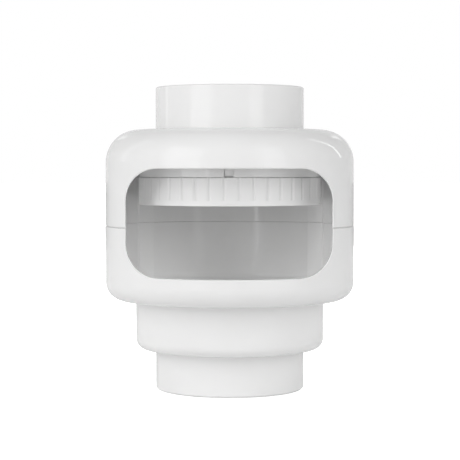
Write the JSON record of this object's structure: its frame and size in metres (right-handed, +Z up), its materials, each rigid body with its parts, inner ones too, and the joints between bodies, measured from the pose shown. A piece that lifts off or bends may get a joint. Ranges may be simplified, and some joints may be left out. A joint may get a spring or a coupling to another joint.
{
  "type": "tank air gap fitting",
  "caption": "White moulded air gap fitting with a pipe socket above and below, an open window in its round body and a fluted screen ring inside.",
  "frame": {"origin": "centre of the bottom rim, on the axis of the two pipe sockets", "axes": "+Z up along that axis, from the outlet below to the inlet above; the window faces -Y"},
  "size_m": [0.1612, 0.1611, 0.1954],
  "materials": {
    "housing": "white injection moulding, semi-gloss with a soft sheen",
    "ring": "white injection moulding, satin, with moulded flutes",
    "mesh": "woven stainless wire"
  },
  "bodies": {
    "root": {"upper_housing": "housing", "lower_housing": "housing", "screen_ring": "ring", "insect_screen": "mesh"}
  },
  "joints": []
}
